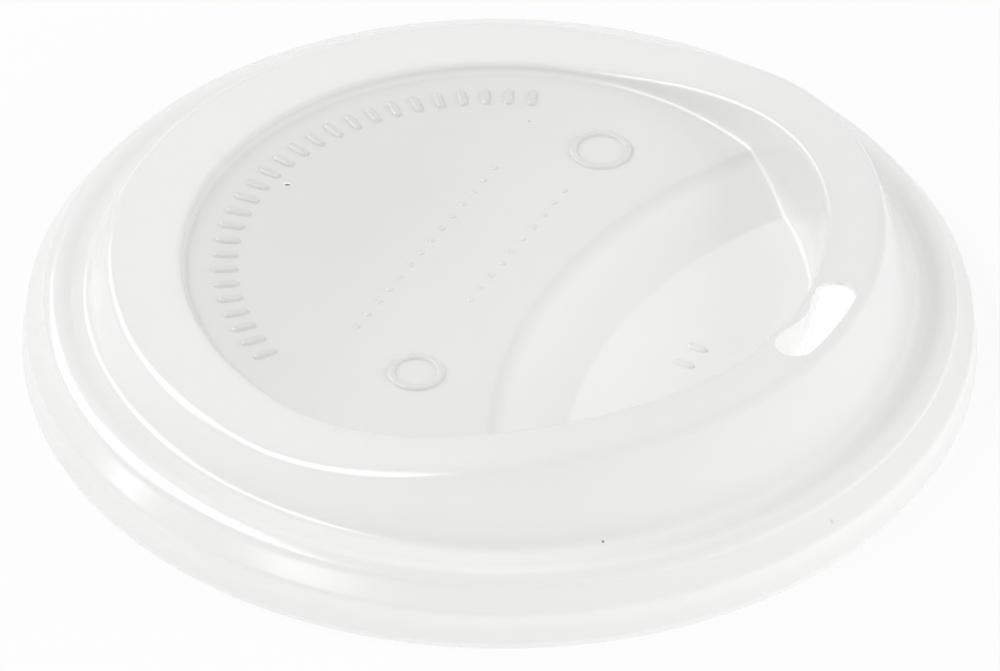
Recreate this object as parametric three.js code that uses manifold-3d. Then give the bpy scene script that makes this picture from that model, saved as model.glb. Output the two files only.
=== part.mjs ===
// Thermoformed cup lid for hot drinks: one sheet of white plastic with a snap skirt, a channel,
// a drinking ring that rises towards the sip slot, and a recess with a ramp down to a shallow well.
// Units are millimetres and +Z is up. The origin is the centre of the skirt's lower edge.
// The sip slot is at the front, towards -Y.

import * as THREE from 'three';
import { mergeVertices } from 'three/addons/utils/BufferGeometryUtils.js';
import Module from 'manifold-3d';

// Sheet
const SHEET = 0.4; // wall thickness of the formed sheet
const SEGMENTS = 88; // facets round the lid
const ARC_STEPS = 3; // facets in each rounded edge

// Skirt, which snaps over the cup's rolled rim. Insets are measured from its widest line, and each
// height from the level below it.
const SKIRT_RADIUS = 46.5;
const LIP_INSET = 0.2; // the lower edge turns in
const LIP_HEIGHT = 0.7;
const WAIST_INSET = 0.45; // grips the cup under its rim
const WAIST_HEIGHT = 1.6;
const RIDGE_INSET = 0.35; // goes round the cup's rim
const RIDGE_HEIGHT = 1.6;
const SLOPE_HEIGHT = 1.9; // from the ridge up to the crease under the shoulder

// Shoulder, whose underside bears on the cup's rim, and the channel inside it
const SHOULDER_INSET = 2.05; // shoulder's outer side
const SHOULDER_CREASE = 0.05; // depth of the crease under the shoulder
const SHOULDER_HEIGHT = 1.15;
const SHOULDER_ROUND = 1.0;
const SHOULDER_LAND = 0.8; // flat width on top of the shoulder
const SHOULDER_WIDTH = 2.85; // from the shoulder's outer side to the channel
const CHANNEL_DEPTH = 1.45;
const CHANNEL_WIDTH = 0.9;

// Drinking ring: its land is level from side to side and climbs from the back to the front
const RING_HEIGHT = 5.4; // land at the back, above the channel
const CLIMB_HEIGHT = 4.8;
const CLIMB_START_Y = 8; // the climb starts this far behind the lid's axis
const CLIMB_LENGTH = 35;
const DOME_LEAN = 2.9; // the dome wall leans in this much from the channel to the crest
const CREST_SETBACK = 0.65; // the crest circle sits this far towards the back
const CREST_ROUND = 0.7;
const LAND_WIDTH = 6.9; // level land at the back

// Recess inside the ring
const RECESS_DRAFT = 0.14; // outward run of the recess wall for each millimetre of height
const RECESS_ROUND = 0.55;
const PANEL_DEPTH = 1.05; // flat panel below the land at the back
const WELL_DEPTH = 3.25; // floor of the well below the panel
const RAMP_START = 5.5; // the panel ends this far in front of the lid's axis
const RAMP_RUN = 7.3;
const WELL_ARC_RADIUS = 46.3; // arc at the foot of the ramp, which the top of the ramp follows
const WELL_SEGMENTS = 240;

// Sip slot, a bean that follows the ring
const SLOT_HALF_SPAN = 4.25; // from the slot's middle to the centre of each round end
const SLOT_LOBE = 2.0; // radius of each round end
const SLOT_INSET = 0.16; // from the middle of the land towards the recess
const SLOT_WAIST = 0.95; // how far the inner side bends in at the slot's middle
const SLOT_SEGMENTS = 8; // facets in each curve of the slot

// Vent, a pinhole in the panel
const VENT_RADIUS = 0.4;
const VENT_X = 1.5;
const VENT_FROM_WALL = 6.45; // from the recess wall
const VENT_SEGMENTS = 12;

// Radii inside the skirt
const SHOULDER_RADIUS = SKIRT_RADIUS - SHOULDER_INSET;
const CHANNEL_RADIUS = SHOULDER_RADIUS - SHOULDER_WIDTH;
const DOME_FOOT_RADIUS = CHANNEL_RADIUS - CHANNEL_WIDTH;
const CREST_RADIUS = DOME_FOOT_RADIUS - DOME_LEAN;
const EDGE_RADIUS = CREST_RADIUS - LAND_WIDTH;
const PANEL_RADIUS = EDGE_RADIUS - RECESS_DRAFT * PANEL_DEPTH;

// Levels above the lip
const WAIST_Z = LIP_HEIGHT + WAIST_HEIGHT;
const RIDGE_Z = WAIST_Z + RIDGE_HEIGHT;
const CREASE_Z = RIDGE_Z + SLOPE_HEIGHT;
const SHOULDER_Z = CREASE_Z + SHOULDER_HEIGHT;
const CHANNEL_Z = SHOULDER_Z - CHANNEL_DEPTH;
const LAND_BACK_Z = CHANNEL_Z + RING_HEIGHT;
const LAND_FRONT_Z = LAND_BACK_Z + CLIMB_HEIGHT;
const PANEL_Z = LAND_BACK_Z - PANEL_DEPTH;
const WELL_Z = PANEL_Z - WELL_DEPTH;

const LID_COLOUR = 0xf2f2f0;

const wasm = await Module();
wasm.setup();

// Closed three.js geometry to an exact solid.
function toSolid(geometry) {
  const bare = geometry.clone();
  bare.deleteAttribute('normal');
  bare.deleteAttribute('uv');
  const merged = mergeVertices(bare);
  const corners = [];
  const index = merged.index.array;
  for (let i = 0; i < index.length; i += 3) {
    const [a, b, c] = [index[i], index[i + 1], index[i + 2]];
    if (a !== b && b !== c && c !== a) corners.push(a, b, c);
  }
  const mesh = new wasm.Mesh({
    numProp: 3,
    vertProperties: Float32Array.from(merged.attributes.position.array),
    triVerts: Uint32Array.from(corners),
  });
  return new wasm.Manifold(mesh);
}

// Exact solid back to a three.js geometry.
function toGeometry(solid) {
  const mesh = solid.getMesh();
  const geometry = new THREE.BufferGeometry();
  geometry.setAttribute('position', new THREE.BufferAttribute(mesh.vertProperties, 3));
  geometry.setIndex(new THREE.BufferAttribute(mesh.triVerts, 1));
  geometry.computeVertexNormals();
  return geometry;
}

// Points of a rounded corner.
function arc(centreR, centreZ, radius, fromDegrees, toDegrees, steps = ARC_STEPS) {
  const points = [];
  for (let i = 0; i <= steps; i += 1) {
    const turn = THREE.MathUtils.degToRad(fromDegrees + ((toDegrees - fromDegrees) * i) / steps);
    points.push(new THREE.Vector2(centreR + radius * Math.cos(turn), centreZ + radius * Math.sin(turn)));
  }
  return points;
}

// Outer face of the sheet, from the lip to the middle of the well, drawn with the land at its
// height at the back. The climb to the front is added afterwards.
function sheetProfile() {
  const shoulderTop = SHOULDER_RADIUS - SHOULDER_ROUND;
  const roundZ = SHOULDER_Z - SHOULDER_ROUND;
  const wellRadius = PANEL_RADIUS - RECESS_DRAFT * WELL_DEPTH;
  return [
    new THREE.Vector2(SKIRT_RADIUS - LIP_INSET, 0),
    new THREE.Vector2(SKIRT_RADIUS, LIP_HEIGHT),
    new THREE.Vector2(SKIRT_RADIUS - WAIST_INSET, WAIST_Z),
    new THREE.Vector2(SKIRT_RADIUS - RIDGE_INSET, RIDGE_Z),
    new THREE.Vector2(SHOULDER_RADIUS - SHOULDER_CREASE, CREASE_Z),
    ...arc(shoulderTop, roundZ, SHOULDER_ROUND, 0, 90),
    ...arc(shoulderTop - SHOULDER_LAND, roundZ, SHOULDER_ROUND, 90, 140),
    new THREE.Vector2(CHANNEL_RADIUS, CHANNEL_Z),
    new THREE.Vector2(DOME_FOOT_RADIUS, CHANNEL_Z),
    ...arc(CREST_RADIUS - CREST_ROUND, LAND_BACK_Z - CREST_ROUND, CREST_ROUND, 25, 90),
    ...arc(EDGE_RADIUS + RECESS_ROUND, LAND_BACK_Z - RECESS_ROUND, RECESS_ROUND, 90, 172),
    ...arc(wellRadius - RECESS_ROUND, WELL_Z + RECESS_ROUND, RECESS_ROUND, -5, -90, 2),
    new THREE.Vector2(0, WELL_Z),
  ];
}

// The same line moved to the inner face of the sheet, each corner along its own bisector.
function offsetProfile(points, distance) {
  return points.map((point, i) => {
    const before = points[Math.max(i - 1, 0)];
    const after = points[Math.min(i + 1, points.length - 1)];
    const into = point.clone().sub(before).normalize();
    const out = after.clone().sub(point).normalize();
    const normalIn = new THREE.Vector2(-into.y, into.x);
    const normalOut = new THREE.Vector2(-out.y, out.x);
    if (i === 0) normalIn.copy(normalOut);
    if (i === points.length - 1) normalOut.copy(normalIn);
    const bisector = normalIn.clone().add(normalOut).normalize();
    return point.clone().addScaledVector(bisector, distance / bisector.dot(normalOut));
  });
}

// Height of the ring's land at a place from back to front.
function landHeight(y) {
  const climbed = THREE.MathUtils.smoothstep(CLIMB_START_Y - y, 0, CLIMB_LENGTH);
  return THREE.MathUtils.lerp(LAND_BACK_Z, LAND_FRONT_Z, climbed);
}

// Lifts the ring from its flat profile to its true height, with the walls below it following.
function raiseRing(geometry) {
  const position = geometry.attributes.position;
  const middleRadius = (EDGE_RADIUS + CREST_RADIUS) / 2;
  for (let i = 0; i < position.count; i += 1) {
    const [x, y, z] = [position.getX(i), position.getY(i), position.getZ(i)];
    const radius = Math.hypot(x, y);
    if (radius < SHEET || radius > DOME_FOOT_RADIUS) continue;
    const inside = radius < middleRadius;
    const foot = inside ? WELL_Z + RECESS_ROUND : CHANNEL_Z;
    const edge = LAND_BACK_Z - CREST_ROUND;
    const share = THREE.MathUtils.clamp((z - foot) / (edge - foot), 0, 1);
    const setback = inside ? 0 : CREST_SETBACK * share;
    const lift = (landHeight(y + setback) - LAND_BACK_Z) * share;
    const widen = inside ? 1 + (RECESS_DRAFT * lift) / radius : 1;
    position.setXYZ(i, x * widen, y * widen + setback, z + lift);
  }
  return geometry;
}

// Solid bounded by one face of the sheet and a flat underside.
function revolvedForm(inset, floorZ) {
  const outline = offsetProfile(sheetProfile(), inset);
  outline[0].y = floorZ;
  outline[outline.length - 1].x = 0;
  const lathe = new THREE.LatheGeometry([new THREE.Vector2(0, floorZ), ...outline], SEGMENTS);
  lathe.rotateX(Math.PI / 2);
  return toSolid(raiseRing(lathe));
}

// Raised floor of the recess: the panel, ended at the front by the ramp. Inset moves its top and
// its ramp down to the sheet's inner face.
function panelBlock(inset) {
  const overlap = SHEET + RECESS_ROUND;
  const depth = WELL_DEPTH + 2 * overlap;
  const discRadius = PANEL_RADIUS + overlap;
  const disc = new THREE.CylinderGeometry(discRadius, discRadius, depth, SEGMENTS);
  disc.rotateX(Math.PI / 2);
  disc.translate(0, 0, PANEL_Z - inset - depth / 2);
  const slope = RAMP_RUN / WELL_DEPTH;
  const spread = inset * Math.hypot(1, slope);
  const height = 3 * depth;
  const middle = WELL_ARC_RADIUS + spread;
  const cone = new THREE.CylinderGeometry(
    middle + (slope * height) / 2,
    middle - (slope * height) / 2,
    height,
    WELL_SEGMENTS,
  );
  cone.rotateX(Math.PI / 2);
  cone.translate(0, -(RAMP_START + RAMP_RUN + WELL_ARC_RADIUS), WELL_Z);
  return toSolid(disc).subtract(toSolid(cone));
}

// Plan of the sip slot, drawn with its front towards +Y.
function slotShape() {
  const landInner = PANEL_RADIUS + RECESS_DRAFT * (LAND_FRONT_Z - PANEL_Z);
  const landOuter = CREST_RADIUS - CREST_SETBACK;
  const slotRadius = (landInner + landOuter) / 2 - SLOT_INSET;
  const lean = Math.asin(SLOT_HALF_SPAN / slotRadius);
  const lobeY = slotRadius * Math.cos(lean);
  const outerRadius = slotRadius + SLOT_LOBE;
  const shape = new THREE.Shape();
  shape.absarc(0, 0, outerRadius, Math.PI / 2 - lean, Math.PI / 2 + lean, false);
  shape.absarc(-SLOT_HALF_SPAN, lobeY, SLOT_LOBE, Math.PI / 2 + lean, (3 * Math.PI) / 2, false);
  const innerY = lobeY - SLOT_LOBE;
  const waistY = innerY + SLOT_WAIST;
  const bend = SLOT_HALF_SPAN / 2;
  shape.bezierCurveTo(-bend, innerY, -bend, waistY, 0, waistY);
  shape.bezierCurveTo(bend, waistY, bend, innerY, SLOT_HALF_SPAN, innerY);
  shape.absarc(SLOT_HALF_SPAN, lobeY, SLOT_LOBE, -Math.PI / 2, Math.PI / 2 - lean, false);
  return shape;
}

// Straight cutter through the ring's land.
function slotCutter() {
  const reach = LAND_FRONT_Z - PANEL_Z;
  const cutter = new THREE.ExtrudeGeometry(slotShape(), {
    depth: reach,
    bevelEnabled: false,
    curveSegments: SLOT_SEGMENTS,
  });
  cutter.rotateZ(Math.PI);
  cutter.translate(0, 0, LAND_FRONT_Z - reach / 2);
  return toSolid(cutter);
}

function ventCutter() {
  const cutter = new THREE.CylinderGeometry(VENT_RADIUS, VENT_RADIUS, 4 * SHEET, VENT_SEGMENTS);
  cutter.rotateX(Math.PI / 2);
  cutter.translate(VENT_X, PANEL_RADIUS - VENT_FROM_WALL, PANEL_Z - SHEET / 2);
  return toSolid(cutter);
}

function lidShell() {
  const outer = revolvedForm(0, 0).add(panelBlock(0));
  const inner = revolvedForm(SHEET, -SHEET).add(panelBlock(SHEET));
  return outer.subtract(inner).subtract(slotCutter()).subtract(ventCutter());
}

const lid = new THREE.Mesh(
  toGeometry(lidShell()),
  new THREE.MeshStandardMaterial({ color: LID_COLOUR, roughness: 0.35, metalness: 0 }),
);
lid.name = 'lid_shell';

const model = new THREE.Group();
model.add(lid);
export default model;
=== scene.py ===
"""Looks of a round sip lid for a hot drink cup, thermoformed from one sheet of white plastic.

The outer face of the sheet is grown outwards from the floor of the recess, ring by ring, with mesh
operators. The sheet then gets its thickness, its plain raised marks, its sip slot and its vent.
Lengths are in millimetres in the size classes and in metres in every mesh.
"""

import logging
import math
from dataclasses import dataclass, field
from enum import Enum

import bmesh
import bpy
from mathutils import Matrix, Quaternion, Vector


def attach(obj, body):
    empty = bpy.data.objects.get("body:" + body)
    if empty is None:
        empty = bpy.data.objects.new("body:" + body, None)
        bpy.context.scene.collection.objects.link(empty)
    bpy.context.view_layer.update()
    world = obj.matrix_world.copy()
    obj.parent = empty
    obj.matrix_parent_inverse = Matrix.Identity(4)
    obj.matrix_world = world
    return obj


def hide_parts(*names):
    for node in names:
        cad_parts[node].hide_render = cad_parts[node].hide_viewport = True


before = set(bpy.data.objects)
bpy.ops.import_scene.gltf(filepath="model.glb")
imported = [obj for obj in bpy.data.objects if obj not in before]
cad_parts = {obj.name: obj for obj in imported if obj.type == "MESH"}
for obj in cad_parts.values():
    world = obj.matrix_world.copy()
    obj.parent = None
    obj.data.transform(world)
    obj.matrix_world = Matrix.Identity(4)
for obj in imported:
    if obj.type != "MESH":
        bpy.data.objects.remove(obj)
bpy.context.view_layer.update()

MM = 0.001
# Lengths below which two places are one, and the half turn below which a line runs straight.
TINY = 1e-6
MERGE = 1e-5
STRAIGHT = 1e-4

Colour = tuple[float, float, float]
Socket = bpy.types.NodeSocket

logging.basicConfig(level=logging.INFO, format="%(name)s: %(message)s")
log = logging.getLogger("sip_lid")


@dataclass(frozen=True)
class Corner:
    """One corner of the line that runs across the sheet from the recess to the lip.

    Attributes:
        place: Where the two straight stretches meet, in millimetres.
        bend: Radius of the rounding, 0 for none.
        steps: Facets in the rounding.
        run: Rings on the straight stretch that follows the corner.
    """

    place: Vector
    bend: float = 0.0
    steps: int = 4
    run: int = 1


def rounded_corner(before: Vector, corner: Corner, after: Vector) -> list[Vector]:
    """Points of one rounded corner.

    Args:
        before: The corner before it.
        corner: The corner to round.
        after: The corner after it.

    Returns:
        The points of the rounding, from the side of `before` to the side of `after`.
    """
    into = (corner.place - before).normalized()
    out = (after - corner.place).normalized()
    half_turn = into.angle(out) / 2
    if corner.bend <= 0 or half_turn < STRAIGHT:
        return [corner.place.copy()]
    reach = corner.bend * math.tan(half_turn)
    centre = corner.place + (out - into).normalized() * corner.bend / math.cos(half_turn)
    arm = corner.place - into * reach - centre
    axis = into.cross(out).normalized()
    return [
        centre + Quaternion(axis, 2 * half_turn * step / corner.steps) @ arm
        for step in range(corner.steps + 1)
    ]


def rounded_line(
    corners: list[Corner], hold: float = 0.25, hold_share: float = 0.3
) -> list[Vector]:
    """A line with its corners rounded and its straight stretches divided.

    Args:
        corners: The line's corners, the first and last of them its ends.
        hold: Distance from each rounding to the ring that holds the flat beside it flat.
        hold_share: The largest share of a stretch that this distance may take.

    Returns:
        The line's points after its first one, as many for every line with the same corners.
    """
    groups = [[corners[0].place]]
    for before, here, after in zip(corners, corners[1:], corners[2:]):
        groups.append(rounded_corner(before.place, here, after.place))
    groups.append([corners[-1].place])
    line: list[Vector] = []
    for corner, group, following in zip(corners, groups, groups[1:]):
        start, end = group[-1], following[0]
        length = (end - start).length
        near = min(hold / length, hold_share) if length > 0 else hold_share
        for step in range(corner.run):
            share = 0.5 if corner.run == 1 else near + (1 - 2 * near) * step / (corner.run - 1)
            line.append(start.lerp(end, share))
        line.extend(following)
    return line


@dataclass(frozen=True)
class Rim:
    """Skirt that grips the cup's rim, the shoulder above it and the channel inside it."""

    skirt_radius: float = 46.5
    lip_inset: float = 0.2
    lip_height: float = 0.7
    waist_inset: float = 0.45
    waist_height: float = 1.6
    ridge_inset: float = 0.35
    ridge_height: float = 1.6
    slope_height: float = 1.9
    shoulder_inset: float = 2.05
    crease: float = 0.05
    shoulder_height: float = 1.15
    shoulder_width: float = 2.85
    shoulder_lean: float = 1.0
    shoulder_slope_width: float = 1.05
    shoulder_slope_drop: float = 0.68
    channel_depth: float = 0.15
    channel_width: float = 0.9
    wall_foot_z: float = 5.5
    shoulder_bend: float = 1.5
    slope_bend: float = 0.5
    crease_bend: float = 0.25
    ridge_bend: float = 0.9
    waist_bend: float = 2.5
    lip_bend: float = 0.7

    @property
    def shoulder_radius(self) -> float:
        """Outer side of the shoulder."""
        return self.skirt_radius - self.shoulder_inset

    @property
    def channel_radius(self) -> float:
        """Outer side of the channel."""
        return self.shoulder_radius - self.shoulder_width

    @property
    def foot_radius(self) -> float:
        """Foot of the dome wall, on the inner side of the channel."""
        return self.channel_radius - self.channel_width

    @property
    def waist_z(self) -> float:
        """Level of the waist."""
        return self.lip_height + self.waist_height

    @property
    def ridge_z(self) -> float:
        """Level of the ridge."""
        return self.waist_z + self.ridge_height

    @property
    def crease_z(self) -> float:
        """Level of the crease under the shoulder."""
        return self.ridge_z + self.slope_height

    @property
    def shoulder_z(self) -> float:
        """Level of the shoulder's flat top."""
        return self.crease_z + self.shoulder_height

    @property
    def channel_z(self) -> float:
        """Level of the channel's floor."""
        return self.shoulder_z - self.channel_depth

    def corners(self, turn: float) -> list[Corner]:
        """Corners from the channel's outer side to the lip.

        Args:
            turn: Angle round the lid, in radians.

        Returns:
            The corners, outwards.
        """
        skirt, shoulder, channel = self.skirt_radius, self.shoulder_radius, self.channel_radius
        top, slope_foot = self.shoulder_z, self.shoulder_z - self.shoulder_slope_drop
        rows = (
            (channel, self.channel_z, self.shoulder_bend, 4, 1),
            (channel + self.shoulder_lean, top, self.shoulder_bend, 4, 1),
            (shoulder - self.shoulder_slope_width, top, self.shoulder_bend, 5, 1),
            (shoulder, slope_foot, self.slope_bend, 5, 0),
            (shoulder - self.crease, self.crease_z, self.crease_bend, 3, 2),
            (skirt - self.ridge_inset, self.ridge_z, self.ridge_bend, 5, 1),
            (skirt - self.waist_inset, self.waist_z, self.waist_bend, 3, 1),
            (skirt, self.lip_height, self.lip_bend, 3, 1),
            (skirt - self.lip_inset, 0.0, 0.0, 4, 1),
        )
        return [Corner(on_ring(r, turn, z), bend, steps, run) for r, z, bend, steps, run in rows]


@dataclass(frozen=True)
class Ring:
    """Drinking ring, level from side to side, whose land climbs from the back to the front.

    The dome wall leans to the point where a rounding of `crest_round` would meet it at
    `crest_tangent` degrees, and the crest itself is rounded by `crest_bend`.
    """

    land_back_z: float = 10.9
    climb_height: float = 4.8
    climb_start_y: float = 8.0
    climb_length: float = 35.0
    lean: float = 2.9
    setback: float = 0.65
    crest_round: float = 0.7
    crest_tangent: float = 25.0
    crest_bend: float = 1.2
    foot_bend: float = 0.9

    def land_height(self, y: float) -> float:
        """Height of the land at a place from back to front.

        Args:
            y: Place along the lid, the back towards +Y.

        Returns:
            The height above the lip.
        """
        share = min(max((self.climb_start_y - y) / self.climb_length, 0.0), 1.0)
        return self.land_back_z + self.climb_height * share * share * (3 - 2 * share)

    def crest_radius(self, rim: Rim) -> float:
        """Radius of the crest before it is set back."""
        return rim.foot_radius - self.lean

    def corners(self, turn: float, rim: Rim) -> list[Corner]:
        """Corners of the crest and of the dome wall's foot.

        Args:
            turn: Angle round the lid, in radians.
            rim: The rim that the dome wall stands in.

        Returns:
            The two corners, outwards.
        """
        foot = on_ring(rim.foot_radius, turn, rim.wall_foot_z)
        crest = self.crest_radius(rim)
        tangent = math.radians(self.crest_tangent)
        shoulder_r = crest - self.crest_round * (1 - math.cos(tangent))
        drop = self.crest_round * (1 - math.sin(tangent))
        upper = on_ring(shoulder_r, turn, 0.0)
        upper.y += self.setback
        upper.z = self.land_height(upper.y) - drop
        top = foot.lerp(upper, (upper.z + drop - foot.z) / (upper.z - foot.z))
        base = foot.lerp(upper, (rim.channel_z - foot.z) / (upper.z - foot.z))
        return [
            Corner(top, self.crest_bend, steps=7, run=7),
            Corner(base, self.foot_bend, steps=5),
        ]


@dataclass(frozen=True)
class Recess:
    """Recess inside the ring: a flat panel, and a ramp down to a shallow well at the front."""

    wall_radius: float = 30.753
    draft: float = 0.14
    edge_bend: float = 0.55
    foot_bend: float = 0.55
    panel_z: float = 9.85
    well_depth: float = 3.25
    ramp_start: float = 5.5
    ramp_run: float = 7.3
    well_arc: float = 46.3
    ramp_bend: float = 0.9
    ramp_flat: float = 1.6
    floor_radius: float = 29.45

    @property
    def well_z(self) -> float:
        """Level of the well's floor."""
        return self.panel_z - self.well_depth

    @property
    def arc_centre_y(self) -> float:
        """Place of the centre that the ramp's arcs share."""
        return -(self.ramp_start + self.ramp_run + self.well_arc)

    def ramp_line(self) -> list[Vector]:
        """Section of the floor across the ramp.

        Returns:
            Points of distance from the arcs' centre, 0 and height, from the well to the panel.
        """
        foot, head = self.well_arc, self.well_arc + self.ramp_run
        return rounded_line(
            [
                Corner(Vector((foot - self.ramp_flat, 0.0, self.well_z))),
                Corner(Vector((foot, 0.0, self.well_z)), self.ramp_bend, steps=5, run=2),
                Corner(Vector((head, 0.0, self.panel_z)), self.ramp_bend, steps=5),
                Corner(Vector((head + self.ramp_flat, 0.0, self.panel_z))),
            ]
        )

    def floor_height(self, x: float, y: float) -> float:
        """Height of the recess's floor.

        Args:
            x: Place across the lid.
            y: Place along the lid.

        Returns:
            The height above the lip.
        """
        away = math.hypot(x, y - self.arc_centre_y)
        line = self.ramp_line()
        if away <= line[0].x:
            return self.well_z
        for low, high in zip(line, line[1:]):
            if away <= high.x:
                return low.z + (high.z - low.z) * (away - low.x) / (high.x - low.x)
        return self.panel_z

    def radius_at(self, z: float) -> float:
        """Radius of the recess wall at a height."""
        return self.wall_radius + self.draft * (z - self.panel_z)

    def corners(self, turn: float, ring: Ring) -> list[Corner]:
        """Corners from the floor to the edge of the ring's land.

        Args:
            turn: Angle round the lid, in radians.
            ring: The ring that the wall climbs to.

        Returns:
            The floor's last point, the wall's foot and its upper edge.
        """
        x, y = math.cos(turn), math.sin(turn)
        start_z = self.floor_height(self.floor_radius * x, self.floor_radius * y)
        foot_r = self.radius_at(start_z)
        foot_z = self.floor_height(foot_r * x, foot_r * y)
        foot_r = self.radius_at(foot_z)
        edge_z = ring.land_height(self.radius_at(ring.land_back_z) * y)
        return [
            Corner(on_ring(self.floor_radius, turn, start_z)),
            Corner(on_ring(foot_r, turn, foot_z), self.foot_bend, steps=5, run=4),
            Corner(on_ring(self.radius_at(edge_z), turn, edge_z), self.edge_bend, steps=6, run=7),
        ]


@dataclass(frozen=True)
class SipSlot:
    """Bean-shaped opening that follows the ring at the front."""

    half_span: float = 4.25
    lobe: float = 2.0
    radius: float = 34.2
    waist: float = 0.95
    low_z: float = 12.0
    high_z: float = 18.0
    facets: int = 14

    def outline(self) -> list[Vector]:
        """Outline of the slot in plan, once round.

        Returns:
            The outline's points, in millimetres.
        """
        lean = math.asin(self.half_span / self.radius)
        lobe_y = self.radius * math.cos(lean)
        outer = self.radius + self.lobe
        points: list[Vector] = []
        for step in range(self.facets):
            turn = -lean + 2 * lean * step / self.facets
            points.append(Vector((outer * math.sin(turn), outer * math.cos(turn))))
        for step in range(self.facets):
            turn = lean + (math.pi - lean) * step / self.facets
            lobe = Vector((math.sin(turn), math.cos(turn))) * self.lobe
            points.append(Vector((self.half_span, lobe_y)) + lobe)
        for step in range(2 * self.facets):
            share = step / (2 * self.facets)
            across = self.half_span * (1 - 2 * share)
            bend = self.waist * math.cos(math.pi * across / (2 * self.half_span)) ** 2
            points.append(Vector((across, lobe_y - self.lobe + bend)))
        for step in range(self.facets):
            turn = math.pi + (math.pi - lean) * step / self.facets
            lobe = Vector((math.sin(turn), math.cos(turn))) * self.lobe
            points.append(Vector((-self.half_span, lobe_y)) + lobe)
        return [Vector((-point.x, -point.y)) for point in points]


@dataclass(frozen=True)
class Vent:
    """Pinhole in the panel that lets air in while drinking."""

    radius: float = 0.4
    x: float = 1.5
    y: float = 24.3
    cut_depth: float = 4.0
    facets: int = 24


def on_ring(radius: float, turn: float, z: float) -> Vector:
    """A point on a circle round the lid's axis.

    Args:
        radius: Distance from the axis.
        turn: Angle round the axis, in radians.
        z: Height above the lip.

    Returns:
        The point.
    """
    return Vector((radius * math.cos(turn), radius * math.sin(turn), z))


class MarkForm(Enum):
    """Forms of the plain marks raised in the recess's floor."""

    RIB = "rib"
    BEAD = "bead"
    HOOP = "hoop"


@dataclass(frozen=True)
class Mark:
    """One plain raised mark.

    Attributes:
        form: Which form it has.
        x: Place across the lid.
        y: Place along the lid.
        z: Level that it stands on.
        length: Length of a rib, or diameter of a bead or hoop.
        width: Width of a rib or of a hoop's band.
        rise: Height above the floor.
        turn: Direction of a rib, in radians from +X.
    """

    form: MarkForm
    x: float
    y: float
    z: float
    length: float
    width: float
    rise: float
    turn: float = 0.0


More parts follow.
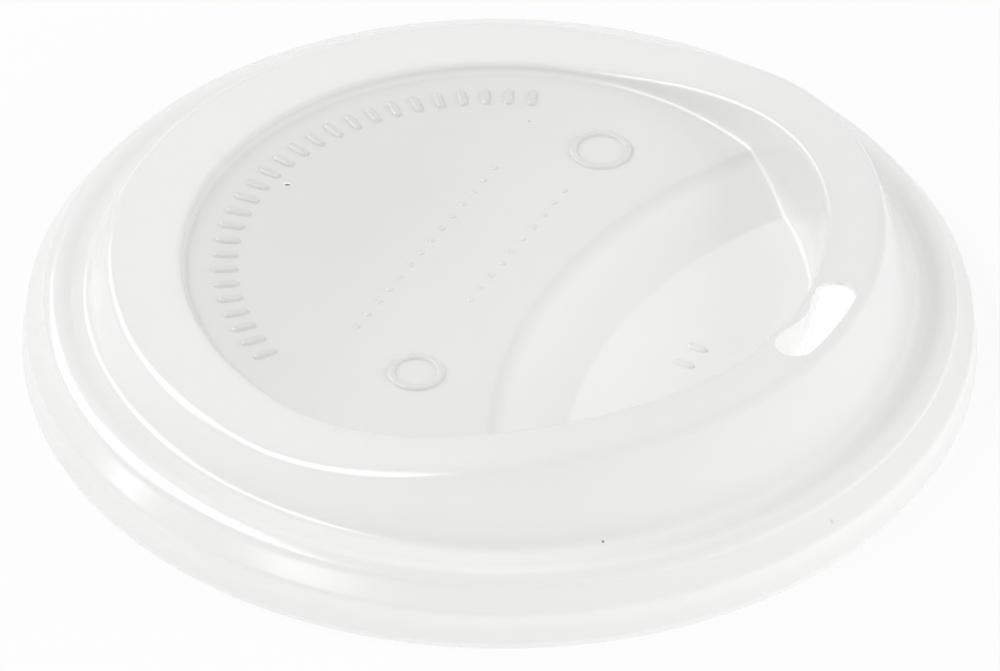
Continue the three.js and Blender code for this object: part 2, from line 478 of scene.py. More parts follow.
@dataclass
class PlainMarks:
    """Ribs round the back of the panel, rows of beads, two hoops, and two ribs in the well."""

    recess: Recess = field(default_factory=Recess)
    band_radius: float = 26.7
    band_from: float = -60.0
    band_to: float = 69.0
    band_ribs: int = 27
    rib_size: tuple[float, float] = (2.7, 1.1)
    bead_rows: tuple[tuple[float, float, float, int], ...] = (
        (-15.2, 13.2, 7.6, 14),
        (-6.4, 13.2, -0.1, 10),
    )
    bead_size: float = 0.9
    bead_rise: float = 0.12
    hoops: tuple[tuple[float, float, float], ...] = ((20.6, -0.3, 6.4), (-18.8, -0.8, 5.8))
    hoop_width: float = 1.0
    well_ribs: tuple[tuple[float, float], ...] = ((-1.9, -21.0), (0.9, -21.0))
    well_rib_size: tuple[float, float] = (2.3, 1.0)
    rise: float = 0.28
    sunk: float = 0.15
    pad_facets: int = 24
    hoop_facets: int = 60
    pad_profile: tuple[tuple[float, float], ...] = (
        (0.24, 0.6),
        (0.31, 0.8),
        (0.41, 0.93),
        (0.53, 1.0),
        (0.66, 1.0),
    )

    def marks(self) -> list[Mark]:
        """Places every mark.

        Returns:
            The marks, with their places and sizes.
        """
        panel, well = self.recess.panel_z, self.recess.well_z
        found: list[Mark] = []
        for step in range(self.band_ribs):
            share = step / (self.band_ribs - 1)
            turn = math.radians(90 - self.band_from - (self.band_to - self.band_from) * share)
            spot = on_ring(self.band_radius, turn, panel)
            found.append(Mark(MarkForm.RIB, spot.x, spot.y, panel, *self.rib_size, self.rise, turn))
        size = self.bead_size
        for start, end, y, count in self.bead_rows:
            for step in range(count):
                x = start + (end - start) * step / (count - 1)
                found.append(Mark(MarkForm.BEAD, x, y, panel, size, size, self.bead_rise))
        for x, y, size in self.hoops:
            found.append(Mark(MarkForm.HOOP, x, y, panel, size, self.hoop_width, self.rise))
        across = math.pi / 2
        for x, y in self.well_ribs:
            found.append(Mark(MarkForm.RIB, x, y, well, *self.well_rib_size, self.rise, across))
        return found

    def rib(self, mark: Mark) -> bmesh.types.BMesh:
        """Makes a rib or a bead: a low pad with round ends, sloping sides and a soft top edge.

        Args:
            mark: The mark to make.

        Returns:
            Its mesh, standing on its own foot.
        """
        bm = bmesh.new()
        bmesh.ops.create_circle(
            bm, cap_ends=True, segments=self.pad_facets, radius=mark.width / 2
        )
        for vert in bm.verts:
            if abs(vert.co.x) > TINY:
                vert.co.x += math.copysign((mark.length - mark.width) / 2, vert.co.x)
        height = self.sunk + mark.rise
        top = next(iter(bm.faces))
        last_inset, last_level = 0.0, 0.0
        for inset, level in self.pad_profile:
            region = [top, *top.edges, *top.verts]
            raised = bmesh.ops.extrude_face_region(bm, geom=region)["geom"]
            top = next(item for item in raised if isinstance(item, bmesh.types.BMFace))
            verts = list(top.verts)
            along = (mark.length - mark.width * inset) / (mark.length - mark.width * last_inset)
            across = (1 - inset) / (1 - last_inset)
            bmesh.ops.scale(bm, vec=(along, across, 1), verts=verts)
            bmesh.ops.translate(bm, vec=(0, 0, (level - last_level) * height), verts=verts)
            last_inset, last_level = inset, level
        return bm

    def hoop(self, mark: Mark) -> bmesh.types.BMesh:
        """Makes a hoop: a low rounded band, spun once round.

        Args:
            mark: The mark to make.

        Returns:
            Its mesh, standing on its own foot.
        """
        bm = bmesh.new()
        half, height = mark.width / 2, self.sunk + mark.rise
        middle = mark.length / 2 - half
        side = [(0.0, 0.0), *self.pad_profile]
        section = [(-half * (1 - inset), level * height) for inset, level in side]
        section += [(-r, z) for r, z in reversed(section)]
        verts = [bm.verts.new((middle + r, 0, z)) for r, z in section]
        edges = [bm.edges.new((a, b)) for a, b in zip(verts, verts[1:] + verts[:1])]
        bmesh.ops.spin(
            bm,
            geom=verts + edges,
            cent=(0, 0, 0),
            axis=(0, 0, 1),
            angle=2 * math.pi,
            steps=self.hoop_facets,
            use_merge=True,
        )
        bmesh.ops.remove_doubles(bm, verts=bm.verts, dist=MERGE)
        return bm

    def build(self) -> bmesh.types.BMesh:
        """Builds all the marks as one mesh in millimetres.

        Returns:
            The mesh, with its faces pointing outwards.
        """
        whole = bmesh.new()
        for mark in self.marks():
            part = self.hoop(mark) if mark.form is MarkForm.HOOP else self.rib(mark)
            where = Matrix.Translation((mark.x, mark.y, mark.z - self.sunk))
            turn = Matrix.Rotation(mark.turn, 4, "Z")
            bmesh.ops.transform(part, matrix=where @ turn, verts=part.verts)
            mesh = bpy.data.meshes.new("mark")
            part.to_mesh(mesh)
            part.free()
            whole.from_mesh(mesh)
            bpy.data.meshes.remove(mesh)
        bmesh.ops.recalc_face_normals(whole, faces=whole.faces)
        return whole


def direction(azimuth: float, elevation: float) -> Vector:
    """Direction from the lid to a lamp or to the camera.

    Args:
        azimuth: Direction in plan, in degrees: 0 is -Y and 90 is +X.
        elevation: Height above the floor, in degrees.

    Returns:
        The direction, one long.
    """
    turn, rise = math.radians(azimuth), math.radians(elevation)
    level = math.cos(rise)
    return Vector((math.sin(turn) * level, -math.cos(turn) * level, math.sin(rise)))


def feed(tree: bpy.types.NodeTree, value: Socket | Colour | float, entry: Socket) -> None:
    """Gives an input its value.

    Args:
        tree: Node tree that holds the input.
        value: An output to link, a colour or a number.
        entry: The input.
    """
    if isinstance(value, Socket):
        tree.links.new(value, entry)
    elif isinstance(value, tuple):
        entry.default_value = (*value, 1.0)
    else:
        entry.default_value = value


def math_node(tree: bpy.types.NodeTree, operation: str, *values: Socket | float) -> Socket:
    """Adds one calculation.

    Args:
        tree: Node tree to add to.
        operation: What is done with the values.
        *values: The values, in the order that the operation takes them.

    Returns:
        The result.
    """
    node = tree.nodes.new("ShaderNodeMath")
    node.operation = operation
    for value, entry in zip(values, node.inputs):
        feed(tree, value, entry)
    return node.outputs["Value"]


def between(
    tree: bpy.types.NodeTree, value: Socket, low: Socket | float, high: Socket | float
) -> Socket:
    """Adds a value that goes evenly from one level to another.

    Args:
        tree: Node tree to add to.
        value: Share of the way, from 0 to 1.
        low: Level at 0.
        high: Level at 1.

    Returns:
        The level.
    """
    node = tree.nodes.new("ShaderNodeMapRange")
    feed(tree, value, node.inputs["Value"])
    feed(tree, low, node.inputs["To Min"])
    feed(tree, high, node.inputs["To Max"])
    return node.outputs["Result"]


def smooth_step(
    tree: bpy.types.NodeTree,
    value: Socket,
    source: tuple[float, float],
    target: tuple[float, float],
    scale: float = MM,
) -> Socket:
    """Adds a smooth step from one range to another.

    Args:
        tree: Node tree to add to.
        value: Value to map.
        source: Range of the value, in units of `scale`.
        target: Range of the result.
        scale: Unit of the source range.

    Returns:
        The mapped value.
    """
    node = tree.nodes.new("ShaderNodeMapRange")
    node.interpolation_type = "SMOOTHSTEP"
    node.inputs["From Min"].default_value = source[0] * scale
    node.inputs["From Max"].default_value = source[1] * scale
    node.inputs["To Min"].default_value = target[0]
    node.inputs["To Max"].default_value = target[1]
    feed(tree, value, node.inputs["Value"])
    return node.outputs["Result"]


def mix_colours(
    tree: bpy.types.NodeTree, share: Socket, first: Socket | Colour, second: Socket | Colour
) -> Socket:
    """Adds a mix of two colours.

    Args:
        tree: Node tree to add to.
        share: Share of the second colour.
        first: Colour at 0.
        second: Colour at 1.

    Returns:
        The mixed colour.
    """
    node = tree.nodes.new("ShaderNodeMix")
    node.data_type = "RGBA"
    feed(tree, share, node.inputs["Factor"])
    feed(tree, first, node.inputs["A"])
    feed(tree, second, node.inputs["B"])
    return node.outputs["Result"]


def noise(tree: bpy.types.NodeTree, place: Socket, scale: float, detail: float) -> Socket:
    """Adds a soft uneven pattern.

    Args:
        tree: Node tree to add to.
        place: Place on the lid.
        scale: Number of its waves to a metre.
        detail: How many finer patterns lie on it.

    Returns:
        The pattern, about 0.5.
    """
    node = tree.nodes.new("ShaderNodeTexNoise")
    node.inputs["Scale"].default_value = scale
    node.inputs["Detail"].default_value = detail
    feed(tree, place, node.inputs["Vector"])
    return node.outputs["Fac"]


@dataclass(frozen=True)
class Speck:
    """A dark speck of dirt on the sheet."""

    x: float
    y: float
    z: float
    radius: float
    strength: float


@dataclass(frozen=True)
class WhiteSheet:
    """White thermoformed plastic: softly glossy, slightly translucent, with a fine forming grain.

    Each field whose name ends in `edge` or `fade` is the stretch, in millimetres, over which one
    colour turns to the next.
    """

    colour: Colour = (0.80, 0.80, 0.795)
    # Painted light: the recess below the panel, its ramp and well, is lighter than the sheet.
    recess_painted_light: Colour = (0.835, 0.835, 0.83)
    # Painted light: the band from the dome wall's foot across the shoulder is lighter, lifting the
    # shade in the channel.
    shoulder_painted_light: Colour = (0.865, 0.865, 0.86)
    panel_colour: Colour = (0.735, 0.735, 0.732)
    # Painted shade: the panel's colour darkens to this towards the back.
    back_painted_shade: Colour = (0.68, 0.68, 0.677)
    speck_colour: Colour = (0.10, 0.09, 0.08)
    recess_edge: tuple[float, float] = (30.9, 30.2)
    panel_edge: tuple[float, float] = (9.0, 9.8)
    back_shade_fade: tuple[float, float] = (-6.0, 16.0)
    shoulder_inner_edge: tuple[float, float] = (39.9, 40.8)
    shoulder_outer_edge: tuple[float, float] = (43.8, 43.2)
    panel_share: float = 0.88
    cloud_share: float = 0.12
    cloud_scale: float = 55.0
    roughness: float = 0.165
    roughness_sway: float = 0.03
    grain_scale: float = 700.0
    sway_scale: float = 90.0
    sway_share: float = 4.0
    bump_strength: float = 0.25
    bump_depth: float = 0.06
    ior: float = 1.59
    translucence: float = 0.35
    light_reach: float = 1.2
    light_tint: Colour = (1.0, 1.0, 0.95)
    speck_core: float = 0.45
    specks: tuple[Speck, ...] = (
        Speck(21.5, 8.1, 9.85, 0.13, 0.5),
        Speck(-30.0, -26.7, 7.1, 0.17, 0.9),
        Speck(-14.4, -43.1, 4.6, 0.3, 0.22),
    )

    def speck_group(self) -> bpy.types.NodeTree:
        """Makes the node group that masks one speck.

        Returns:
            The group, which gives a mask from the speck's centre, radius and strength.
        """
        group = bpy.data.node_groups.new("speck_mask", "ShaderNodeTree")
        for name in ("Place", "Centre"):
            group.interface.new_socket(name, in_out="INPUT", socket_type="NodeSocketVector")
        for name in ("Radius", "Strength"):
            group.interface.new_socket(name, in_out="INPUT", socket_type="NodeSocketFloat")
        group.interface.new_socket("Mask", in_out="OUTPUT", socket_type="NodeSocketFloat")
        entry = group.nodes.new("NodeGroupInput").outputs
        leave = group.nodes.new("NodeGroupOutput").inputs
        away = group.nodes.new("ShaderNodeVectorMath")
        away.operation = "DISTANCE"
        fade = group.nodes.new("ShaderNodeMapRange")
        fade.interpolation_type = "SMOOTHSTEP"
        feed(group, entry["Place"], away.inputs[0])
        feed(group, entry["Centre"], away.inputs[1])
        core = math_node(group, "MULTIPLY", entry["Radius"], self.speck_core)
        feed(group, away.outputs["Value"], fade.inputs["Value"])
        feed(group, core, fade.inputs["From Min"])
        feed(group, entry["Radius"], fade.inputs["From Max"])
        feed(group, entry["Strength"], fade.inputs["To Min"])
        feed(group, 0.0, fade.inputs["To Max"])
        feed(group, fade.outputs["Result"], leave["Mask"])
        return group

    def dirt(self, tree: bpy.types.NodeTree, place: Socket) -> Socket:
        """Adds the mask of all the specks.

        Args:
            tree: Node tree of the material.
            place: Place on the lid.

        Returns:
            The mask.
        """
        group = self.speck_group()
        masks: list[Socket] = []
        for speck in self.specks:
            node = tree.nodes.new("ShaderNodeGroup")
            node.node_tree = group
            node.inputs["Centre"].default_value = (speck.x * MM, speck.y * MM, speck.z * MM)
            node.inputs["Radius"].default_value = speck.radius * MM
            node.inputs["Strength"].default_value = speck.strength
            feed(tree, place, node.inputs["Place"])
            masks.append(node.outputs["Mask"])
        total = masks[0]
        for mask in masks[1:]:
            total = math_node(tree, "MAXIMUM", total, mask)
        return total

    def tone(self, tree: bpy.types.NodeTree, place: Socket, cloud: Socket) -> Socket:
        """Adds the plastic's colour: greyer on the panel, lighter on the shoulder and in the well.

        The panel's darkening towards the back is painted shade; the lighter shoulder band and the
        lighter ramp and well are painted light.

        Args:
            tree: Node tree of the material.
            place: Place on the lid.
            cloud: Soft pattern that makes the panel's colour uneven.

        Returns:
            The colour.
        """
        split = tree.nodes.new("ShaderNodeSeparateXYZ")
        feed(tree, place, split.inputs["Vector"])
        flat = tree.nodes.new("ShaderNodeVectorMath")
        flat.operation = "MULTIPLY"
        flat.inputs[1].default_value = (1, 1, 0)
        feed(tree, place, flat.inputs[0])
        radius = tree.nodes.new("ShaderNodeVectorMath")
        radius.operation = "LENGTH"
        feed(tree, flat.outputs["Vector"], radius.inputs[0])
        away = radius.outputs["Value"]

        inside = smooth_step(tree, away, self.recess_edge, (0, 1))
        above_ramp = smooth_step(tree, split.outputs["Z"], self.panel_edge, (0, 1))
        on_panel = math_node(tree, "MULTIPLY", inside, above_ramp)
        # The panel is greyer than the sheet, and a soft uneven share of its colour lies everywhere.
        cloudy = smooth_step(tree, cloud, (0.2, 0.8), (0.0, self.cloud_share), scale=1)
        panel_grey_share = math_node(tree, "MULTIPLY_ADD", on_panel, self.panel_share, cloudy)
        # Painted shade: the panel's colour darkens towards the back.
        backward = smooth_step(tree, split.outputs["Y"], self.back_shade_fade, (0, 1))
        panel = mix_colours(tree, backward, self.panel_colour, self.back_painted_shade)
        # Painted light: the band from the dome wall's foot across the channel and shoulder is made
        # lighter.
        inner = smooth_step(tree, away, self.shoulder_inner_edge, (0, 1))
        outer = smooth_step(tree, away, self.shoulder_outer_edge, (0, 1))
        shoulder_light_mask = math_node(tree, "MULTIPLY", inner, outer)
        shoulder_lit = mix_colours(tree, shoulder_light_mask, self.colour, self.shoulder_painted_light)
        # Painted light: the recess below the panel is made lighter.
        plain = mix_colours(tree, inside, shoulder_lit, self.recess_painted_light)
        return mix_colours(tree, panel_grey_share, plain, panel)

    def grain(self, tree: bpy.types.NodeTree, place: Socket) -> Socket:
        """Adds the fine grain of the forming and a slight sway of the sheet.

        Args:
            tree: Node tree of the material.
            place: Place on the lid.

        Returns:
            The normal.
        """
        fine = noise(tree, place, self.grain_scale, 2)
        sway = noise(tree, place, self.sway_scale, 1)
        bump = tree.nodes.new("ShaderNodeBump")
        bump.inputs["Strength"].default_value = self.bump_strength
        bump.inputs["Distance"].default_value = self.bump_depth * MM
        heights = math_node(tree, "MULTIPLY_ADD", sway, self.sway_share, fine)
        feed(tree, heights, bump.inputs["Height"])
        return bump.outputs["Normal"]

    def build(self) -> bpy.types.Material:
        """Builds the material.

        Returns:
            The sheet's material, on Object coordinates.
        """
        material = bpy.data.materials.new("white_sheet")
        material.use_nodes = True
        tree = material.node_tree
        shader = tree.nodes["Principled BSDF"].inputs
        place = tree.nodes.new("ShaderNodeTexCoord").outputs["Object"]
        cloud = noise(tree, place, self.cloud_scale, 3)
        tone = self.tone(tree, place, cloud)
        dirty = mix_colours(tree, self.dirt(tree, place), tone, self.speck_colour)
        gloss = (self.roughness - self.roughness_sway, self.roughness + self.roughness_sway)
        feed(tree, dirty, shader["Base Color"])
        feed(tree, smooth_step(tree, cloud, (0.3, 0.7), gloss, scale=1), shader["Roughness"])
        feed(tree, self.grain(tree, place), shader["Normal"])
        shader["IOR"].default_value = self.ior
        shader["Subsurface Weight"].default_value = self.translucence
        shader["Subsurface Radius"].default_value = self.light_tint
        shader["Subsurface Scale"].default_value = self.light_reach * MM
        return material


@dataclass
class LidShell:
    """The whole lid as one sheet."""

    thickness: float = 0.4
    smooth_angle: float = 32.0
    columns: int = 216
    floor_step: float = 1.2
    floor_shift: float = 0.137
    recess: Recess = field(default_factory=Recess)
    ring: Ring = field(default_factory=Ring)
    rim: Rim = field(default_factory=Rim)
    slot: SipSlot = field(default_factory=SipSlot)
    vent: Vent = field(default_factory=Vent)
    finish: WhiteSheet = field(default_factory=WhiteSheet)

    def line_across(self, turn: float) -> list[Vector]:
        """Lays out the sheet's outer face along one direction.

        Args:
            turn: Angle round the lid, in radians.

        Returns:
            The line's points, from the floor of the recess to the lip.
        """
        corners = self.recess.corners(turn, self.ring)
        corners += self.ring.corners(turn, self.rim)
        corners += self.rim.corners(turn)
        return rounded_line(corners)

    def floor(self, bm: bmesh.types.BMesh) -> None:
        """Makes the floor of the recess: a disc cut along the arcs of the ramp and across them.

        The disc is unrolled about the centre of the ramp's arcs, so that the arcs are straight
        there and planes can cut along them.

        Args:
            bm: Mesh to make the floor in.
        """
        recess = self.recess
        centre_y = recess.arc_centre_y
        bmesh.ops.create_circle(
            bm, cap_ends=True, segments=self.columns, radius=recess.floor_radius
        )
        for vert in bm.verts:
            away = math.hypot(vert.co.x, vert.co.y - centre_y)
            swing = math.degrees(math.atan2(vert.co.x, vert.co.y - centre_y))
            vert.co = (swing, away, 0)
        widest = max(vert.co.x for vert in bm.verts)
        cuts = [(Vector((0, point.x, 0)), Vector((0, 1, 0))) for point in recess.ramp_line()[:-1]]
        count = int(widest / self.floor_step)
        for step in range(-count, count + 1):
            swing = (step + self.floor_shift) * self.floor_step
            cuts.append((Vector((swing, 0, 0)), Vector((1, 0, 0))))
        for place, normal in cuts:
            geometry = [*bm.verts, *bm.edges, *bm.faces]
            bmesh.ops.bisect_plane(bm, geom=geometry, dist=TINY, plane_co=place, plane_no=normal)
        for vert in bm.verts:
            swing, away = math.radians(vert.co.x), vert.co.y
            x, y = away * math.sin(swing), centre_y + away * math.cos(swing)
            if vert.is_boundary:
                scale = recess.floor_radius / math.hypot(x, y)
                x, y = x * scale, y * scale
            vert.co = (x, y, recess.floor_height(x, y))

    def grow(self, bm: bmesh.types.BMesh) -> None:
        """Grows the sheet outwards from the floor's edge to the lip, ring by ring.

        Args:
            bm: Mesh that holds the floor.
        """
        column = bm.verts.layers.int.new("column")
        lines: list[list[Vector]] = []
        for vert in bm.verts:
            if vert.is_boundary:
                vert[column] = len(lines)
                lines.append(self.line_across(math.atan2(vert.co.y, vert.co.x)))
        edges = [edge for edge in bm.edges if edge.is_boundary]
        for step in range(len(lines[0])):
            grown = bmesh.ops.extrude_edge_only(bm, edges=edges)["geom"]
            edges = [
                item
                for item in grown
                if isinstance(item, bmesh.types.BMEdge) and item.is_boundary
            ]
            for vert in {vert for edge in edges for vert in edge.verts}:
                vert.co = lines[vert[column]][step]
        log.info("sheet grown from %d columns and %d rings", len(lines), len(lines[0]))

    def sheet(self) -> bmesh.types.BMesh:
        """Builds the sheet's outer face in millimetres.

        Returns:
            The face's mesh, facing up and out.
        """
        bm = bmesh.new()
        self.floor(bm)
        self.grow(bm)
        bmesh.ops.recalc_face_normals(bm, faces=bm.faces)
        bm.faces.ensure_lookup_table()
        if sum(face.normal.z * face.calc_area() for face in bm.faces) < 0:
            bmesh.ops.reverse_faces(bm, faces=bm.faces)
        return bm

    def slot_cutter(self) -> bmesh.types.BMesh:
        """Builds the block that cuts the sip slot.

        Returns:
            The block's mesh, in millimetres.
        """
        outline = self.slot.outline()
        bm = bmesh.new()
        made = bmesh.ops.create_circle(bm, cap_ends=True, segments=len(outline), radius=1)
        ordered = sorted(made["verts"], key=lambda vert: math.atan2(vert.co.y, vert.co.x))
        for vert, point in zip(ordered, reversed(outline)):
            vert.co = (point.x, point.y, self.slot.low_z)
        raised = bmesh.ops.extrude_face_region(bm, geom=list(bm.faces))
        top = [item for item in raised["geom"] if isinstance(item, bmesh.types.BMVert)]
        bmesh.ops.translate(bm, vec=(0, 0, self.slot.high_z - self.slot.low_z), verts=top)
        bmesh.ops.recalc_face_normals(bm, faces=bm.faces)
        return bm

    def vent_cutter(self) -> bmesh.types.BMesh:
        """Builds the pin that cuts the vent.

        Returns:
            The pin's mesh, in millimetres.
        """
        vent = self.vent
        bm = bmesh.new()
        bmesh.ops.create_cone(
            bm,
            cap_ends=True,
            segments=vent.facets,
            radius1=vent.radius,
            radius2=vent.radius,
            depth=vent.cut_depth,
            matrix=Matrix.Translation((vent.x, vent.y, self.recess.panel_z)),
        )
        return bm

    def build(self) -> bpy.types.Object:
        """Builds the lid and dresses it.

        Returns:
            The lid's object.
        """
        lid = mesh_object("sip_lid", self.sheet())
        solid = lid.modifiers.new("wall", "SOLIDIFY")
        solid.thickness = self.thickness * MM
        solid.offset = -1
        solid.use_even_offset = True
        tools = [
            (mesh_object("marks", PlainMarks(self.recess).build()), "UNION"),
            (mesh_object("slot", self.slot_cutter()), "DIFFERENCE"),
            (mesh_object("vent", self.vent_cutter()), "DIFFERENCE"),
        ]
        for tool, operation in tools:
            cut = lid.modifiers.new(tool.name, "BOOLEAN")
            cut.object = tool
            cut.operation = operation
            cut.solver = "EXACT"
        depsgraph = bpy.context.evaluated_depsgraph_get()
        made = bpy.data.meshes.new_from_object(lid.evaluated_get(depsgraph))
        lid.modifiers.clear()
        lid.data = made
        for tool, _ in tools:
            bpy.data.objects.remove(tool)
        made.materials.clear()
        made.materials.append(self.finish.build())
        made.shade_smooth()
        made.set_sharp_from_angle(angle=math.radians(self.smooth_angle))
        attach(lid, "root")
        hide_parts("lid_shell")
        return lid


def mesh_object(name: str, bm: bmesh.types.BMesh) -> bpy.types.Object:
    """Turns a mesh in millimetres into an object in metres at the origin.

    Args:
        name: Name of the object.
        bm: The mesh, which is freed.

    Returns:
        The object, linked to the scene.
    """
    bmesh.ops.scale(bm, vec=(MM, MM, MM), verts=bm.verts)
    mesh = bpy.data.meshes.new(name)
    bm.to_mesh(mesh)
    bm.free()
    made = bpy.data.objects.new(name, mesh)
    bpy.context.scene.collection.objects.link(made)
    return made


@dataclass(frozen=True)
class Lamp:
    """A soft rectangular lamp aimed at the lid.

    Attributes:
        name: What the lamp is for.
        azimuth: Direction it stands in, in degrees: 0 is -Y and 90 is +X.
        elevation: Height above the floor, in degrees.
        distance: Distance from the lid, in metres.
        width: Width of its face, in metres.
        height: Height of its face, in metres.
        power: Power, in watts.
        mirrored: Whether glossy surfaces show it.
        spread: Whether it lights matt surfaces.
    """

    name: str
    azimuth: float
    elevation: float
    distance: float
    width: float
    height: float
    power: float
    mirrored: bool = True
    spread: bool = True


@dataclass
class Studio:
    """Pale floor, soft lamps, white surroundings and the camera.

    Attributes:
        azimuth: Direction that the camera stands in, in degrees, as for a lamp.
        elevation: Height of the camera above the floor, in degrees.
        roll: Turn of the camera about its own line of sight, in degrees.
        distance: Distance of the camera from its target, in millimetres.
        target_z: Height of that target.
        aim_right: Tilt of the camera's aim across the picture.
        aim_down: Tilt of the camera's aim down the picture.
        sky: Light of the surroundings on the lid.
        floor_white: Share of plain white in the floor as it is seen.
        floor_bounce: The same share for the light that the floor throws.
        pool_bounce: Its value in the pool of light beside the lid.
        under_glow: Light of the floor under the lid, which shines through the sheet.
        under_shade: What that floor shows to a direct view.
        slot_view: Place on it that is seen through the slot, and is white.
    """

    azimuth: float = -62.534
    elevation: float = 38.056
    roll: float = -0.426
    distance: float = 1120.7
    lens: float = 416.27
    sensor: float = 36.0
    clip: tuple[float, float] = (0.05, 20.0)
    target_z: float = 8.0
    aim_right: float = 0.0000285
    aim_down: float = 0.004905
    lamps: tuple[Lamp, ...] = (
        Lamp("key", -150, 50, 0.75, 0.85, 0.26, 1.9),
        Lamp("back", 178, 30, 0.75, 0.75, 0.2, 1.0),
        Lamp("key strip", -146, 52, 0.75, 1.0, 0.24, 1.5, spread=False),
        Lamp("back strip", 180, 32, 0.75, 0.8, 0.24, 0.9, spread=False),
        Lamp("fill", 28, 28, 0.9, 0.7, 0.6, 2.8, mirrored=False),
        Lamp("front", -50, 12, 0.9, 1.0, 0.5, 1.1, mirrored=False),
    )
    sky: float = 0.48
    floor_colour: Colour = (0.95, 0.95, 0.95)
    floor_radius: float = 3000.0
    floor_facets: int = 96
    floor_gap: float = 0.02
    floor_white: float = 0.86
    floor_bounce: float = 0.04
    pool_bounce: float = 0.36
    pool_spot: tuple[float, float] = (-58.0, -70.0)
    pool_reach: float = 95.0
    footprint: float = 44.0
    under_glow: float = 1.8
    # Painted shade: the floor under the lid looks dark to a direct view.
    under_shade: float = 0.2
    slot_view: tuple[float, float] = (8.0, -27.0)
    slot_view_radius: float = 17.0

    def floor(self) -> None:
        """Makes the plain pale floor, which keeps the lid's soft shadow."""
        bm = bmesh.new()
        bmesh.ops.create_circle(
            bm, cap_ends=True, segments=self.floor_facets, radius=self.floor_radius
        )
        floor = mesh_object("floor", bm)
        floor.location.z = -self.floor_gap * MM
        floor.data.materials.append(self.pale_floor())

    def pale_floor(self) -> bpy.types.Material:
        """Makes the floor's material.

        Returns:
            The material.
        """
        material = bpy.data.materials.new("pale_floor")
        material.use_nodes = True
        tree = material.node_tree
        shader = tree.nodes["Principled BSDF"]
        shader.inputs["Base Color"].default_value = (*self.floor_colour, 1)
        shader.inputs["Roughness"].default_value = 0.9
        shader.inputs["Specular IOR Level"].default_value = 0.0
        seen = self.seen_rays(tree)
        place = tree.nodes.new("ShaderNodeTexCoord").outputs["Object"]
        under = self.near_spot(tree, place, (0.0, 0.0), self.footprint)
        through = self.near_spot(tree, place, self.slot_view, self.slot_view_radius)
        pool = self.near_spot(tree, place, self.pool_spot, self.pool_reach, self.pool_reach / 2)

        uncovered = math_node(tree, "MAXIMUM", through, math_node(tree, "SUBTRACT", 1.0, under))
        # Painted shade under the lid, for direct views such as through the vent.
        direct = between(tree, uncovered, self.under_shade, 1.0)
        white = tree.nodes.new("ShaderNodeEmission")
        feed(tree, between(tree, seen, self.under_glow, direct), white.inputs["Strength"])

        bounce = between(tree, pool, self.floor_bounce, self.pool_bounce)
        outside = between(tree, seen, bounce, self.floor_white)
        blend = tree.nodes.new("ShaderNodeMixShader")
        feed(tree, math_node(tree, "MAXIMUM", under, outside), blend.inputs["Fac"])
        feed(tree, shader.outputs["BSDF"], blend.inputs[1])
        feed(tree, white.outputs["Emission"], blend.inputs[2])
        feed(tree, blend.outputs["Shader"], tree.nodes["Material Output"].inputs["Surface"])
        return material

    @staticmethod
    def near_spot(
        tree: bpy.types.NodeTree,
        place: Socket,
        spot: tuple[float, float],
        reach: float,
        soft: float = 0.05,
    ) -> Socket:
        """Adds a value that is 1 on a disc of the floor and 0 elsewhere.

        Args:
            tree: Node tree to add to.
            place: Place on the floor.
            spot: Centre of the disc, in millimetres.
            reach: Radius of the disc, in millimetres.
            soft: Half the width of its soft edge, in millimetres.

        Returns:
            The value.
        """
        away = tree.nodes.new("ShaderNodeVectorMath")
        away.operation = "DISTANCE"
        away.inputs[1].default_value = (spot[0] * MM, spot[1] * MM, 0.0)
        feed(tree, place, away.inputs[0])
        return smooth_step(tree, away.outputs["Value"], (reach - soft, reach + soft), (1, 0))

    @staticmethod
    def seen_rays(tree: bpy.types.NodeTree) -> Socket:
        """Adds a value that is 1 for what the camera, gloss or clear plastic sees.

        Args:
            tree: Node tree to add to.

        Returns:
            The value.
        """
        path = tree.nodes.new("ShaderNodeLightPath").outputs
        first = math_node(tree, "MAXIMUM", path["Is Camera Ray"], path["Is Glossy Ray"])
        return math_node(tree, "MAXIMUM", first, path["Is Transmission Ray"])

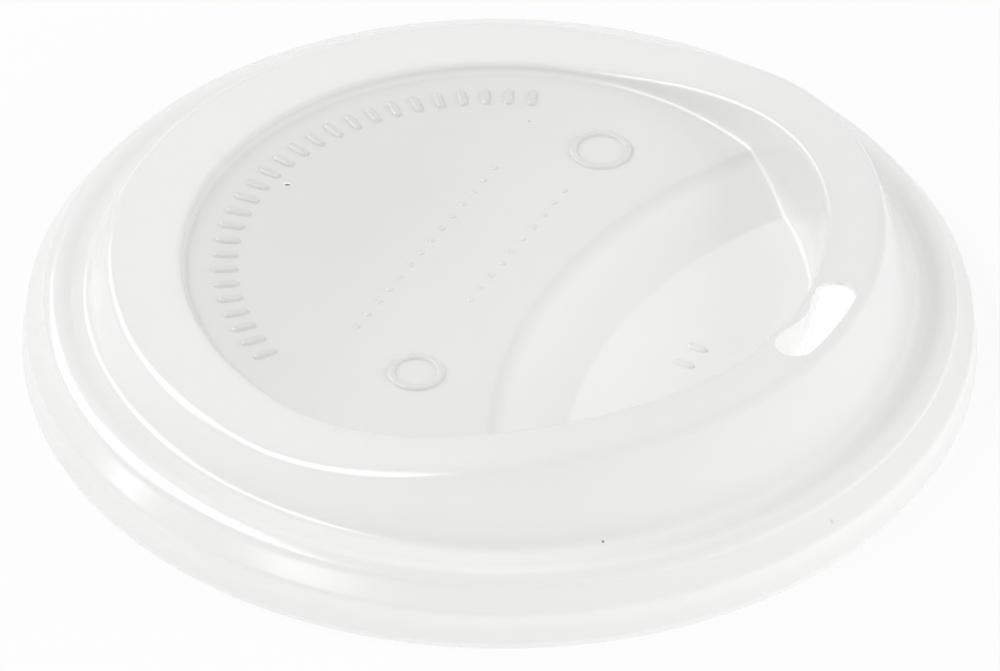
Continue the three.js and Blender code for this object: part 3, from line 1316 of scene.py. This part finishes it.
    def surroundings(self) -> None:
        """Makes the even white surroundings."""
        world = bpy.data.worlds.new("white_surroundings")
        world.use_nodes = True
        bpy.context.scene.world = world
        tree = world.node_tree
        background = tree.nodes["Background"].inputs
        background["Color"].default_value = (1, 1, 1, 1)
        strength = between(tree, self.seen_rays(tree), self.sky, 1.0)
        feed(tree, strength, background["Strength"])

    def light(self, lamp: Lamp) -> None:
        """Makes one lamp.

        Args:
            lamp: The lamp's place, size and power.
        """
        data = bpy.data.lights.new(lamp.name, "AREA")
        data.shape = "RECTANGLE"
        data.size, data.size_y = lamp.width, lamp.height
        data.energy = lamp.power
        made = bpy.data.objects.new(lamp.name, data)
        bpy.context.scene.collection.objects.link(made)
        away = direction(lamp.azimuth, lamp.elevation)
        made.location = away * lamp.distance
        made.rotation_euler = away.to_track_quat("Z", "Y").to_euler()
        made.visible_camera = False
        made.visible_glossy = lamp.mirrored
        made.visible_diffuse = lamp.spread

    def camera(self) -> None:
        """Makes the camera at the photograph's angle and distance."""
        back = direction(self.azimuth, self.elevation)
        turn, tilt = math.radians(self.azimuth), math.radians(self.roll)
        right = Vector((math.cos(turn), math.sin(turn), 0))
        up = back.cross(right)
        across = right * math.cos(tilt) - up * math.sin(tilt)
        above = right * math.sin(tilt) + up * math.cos(tilt)
        backward = (back + above * self.aim_down + across * self.aim_right).normalized()
        across = above.cross(backward).normalized()
        above = backward.cross(across)
        data = bpy.data.cameras.new("camera")
        data.sensor_fit = "HORIZONTAL"
        data.sensor_width = self.sensor
        data.lens = self.lens
        data.clip_start, data.clip_end = self.clip
        made = bpy.data.objects.new("camera", data)
        bpy.context.scene.collection.objects.link(made)
        turned = Matrix((across, above, backward)).transposed().to_4x4()
        turned.translation = (Vector((0, 0, self.target_z)) + back * self.distance) * MM
        made.matrix_world = turned
        bpy.context.scene.camera = made

    def build(self) -> None:
        """Builds the whole studio."""
        bpy.context.scene.view_settings.view_transform = "Standard"
        self.floor()
        self.surroundings()
        for lamp in self.lamps:
            self.light(lamp)
        self.camera()


def main() -> None:
    """Builds the lid and the studio."""
    lid = LidShell().build()
    triangles = sum(len(face.vertices) - 2 for face in lid.data.polygons)
    log.info("%s: %d triangles", lid.name, triangles)
    Studio().build()
    log.info("studio ready")


if __name__ == "__main__":
    main()
